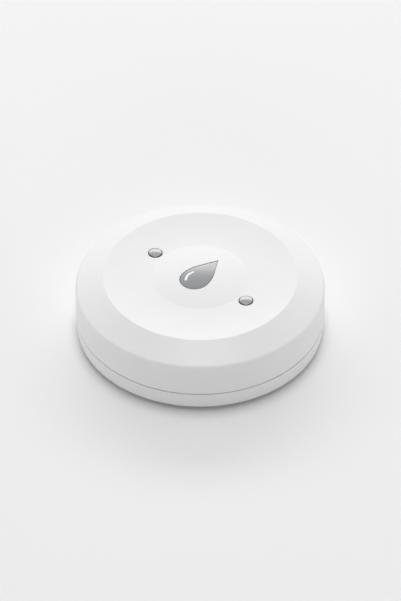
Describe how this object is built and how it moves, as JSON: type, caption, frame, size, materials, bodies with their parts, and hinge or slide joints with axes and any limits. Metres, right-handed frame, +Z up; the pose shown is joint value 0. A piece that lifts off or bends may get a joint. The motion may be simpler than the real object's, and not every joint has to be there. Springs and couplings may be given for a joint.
{
  "type": "water leak sensor",
  "caption": "Low round case that senses water between metal probes on its top and underside, with a drop-shaped lit key, a coin-turned battery door and rubber feet.",
  "frame": {"origin": "on the floor under the middle of the case, level with the bottom of the feet", "axes": "+Z up out of the dome; the tip of the drop points to +Y; both pairs of probes lie along X"},
  "size_m": [0.06, 0.06, 0.0162],
  "materials": {
    "cover_plastic": "fine moulded texture, warm white",
    "base_plastic": "fine moulded texture, warm white",
    "door_plastic": "fine moulded texture, warm white",
    "foot_rubber": "soft satin",
    "seal_rubber": "satin silicone",
    "probe_steel": "polished stainless steel",
    "lens_grey": "smoked, shaded from light at the tip to dark in the bulb",
    "highlight_white": "gloss",
    "guide_clear": "clear moulding",
    "board_laminate": "solder mask",
    "tinned_steel": "tin plate",
    "screw_steel": "zinc plate",
    "cell_steel": "nickel plate",
    "cell_gasket": "satin",
    "spring_brass": "bright strip",
    "pad_foam": "foam",
    "chip_black": "matt mould compound",
    "ferrite_grey": "matt",
    "capacitor_tan": "fired ceramic",
    "led_body": "gloss",
    "switch_black": "matt",
    "plunger_grey": "matt"
  },
  "bodies": {
    "case": {"top_cover": "cover_plastic", "base_cover": "base_plastic", "main_seal": "seal_rubber", "case_screws": "screw_steel", "rubber_feet": "foot_rubber", "upper_probes": "probe_steel", "upper_probe_seals": "seal_rubber", "upper_probe_clips": "spring_brass", "lower_probes": "probe_steel", "lower_probe_seals": "seal_rubber", "lower_probe_clips": "spring_brass", "circuit_board": "board_laminate", "board_screws": "screw_steel", "key_gasket": "seal_rubber", "switch_body": "switch_black", "cell_can": "cell_steel", "cell_gasket": "cell_gasket", "cell_cap": "cell_steel", "minus_contact": "spring_brass", "plus_contact": "spring_brass", "radio_board": "board_laminate", "radio_shield": "tinned_steel", "antenna": "tinned_steel", "sensing_chip": "chip_black", "crystal": "tinned_steel", "inductor": "ferrite_grey", "status_led": "led_body", "capacitors": "capacitor_tan", "resistors": "chip_black"},
    "drop_key": {"drop_lens": "lens_grey", "drop_highlight": "highlight_white", "light_guide": "guide_clear", "switch_plunger": "plunger_grey"},
    "door": {"battery_door": "door_plastic", "door_seal": "seal_rubber", "cell_pad": "pad_foam"}
  },
  "joints": [
    {"name": "key_press", "type": "slide", "parent": "case", "child": "drop_key", "axis": [0, 0, -1], "range_m": [0, 0.00035], "stiffness_N_per_m": 1500},
    {"name": "door_twist", "type": "hinge", "parent": "case", "child": "door", "pos_m": [0, 0, 0.001], "axis": [0, 0, -1], "range_deg": [0, 30]}
  ]
}
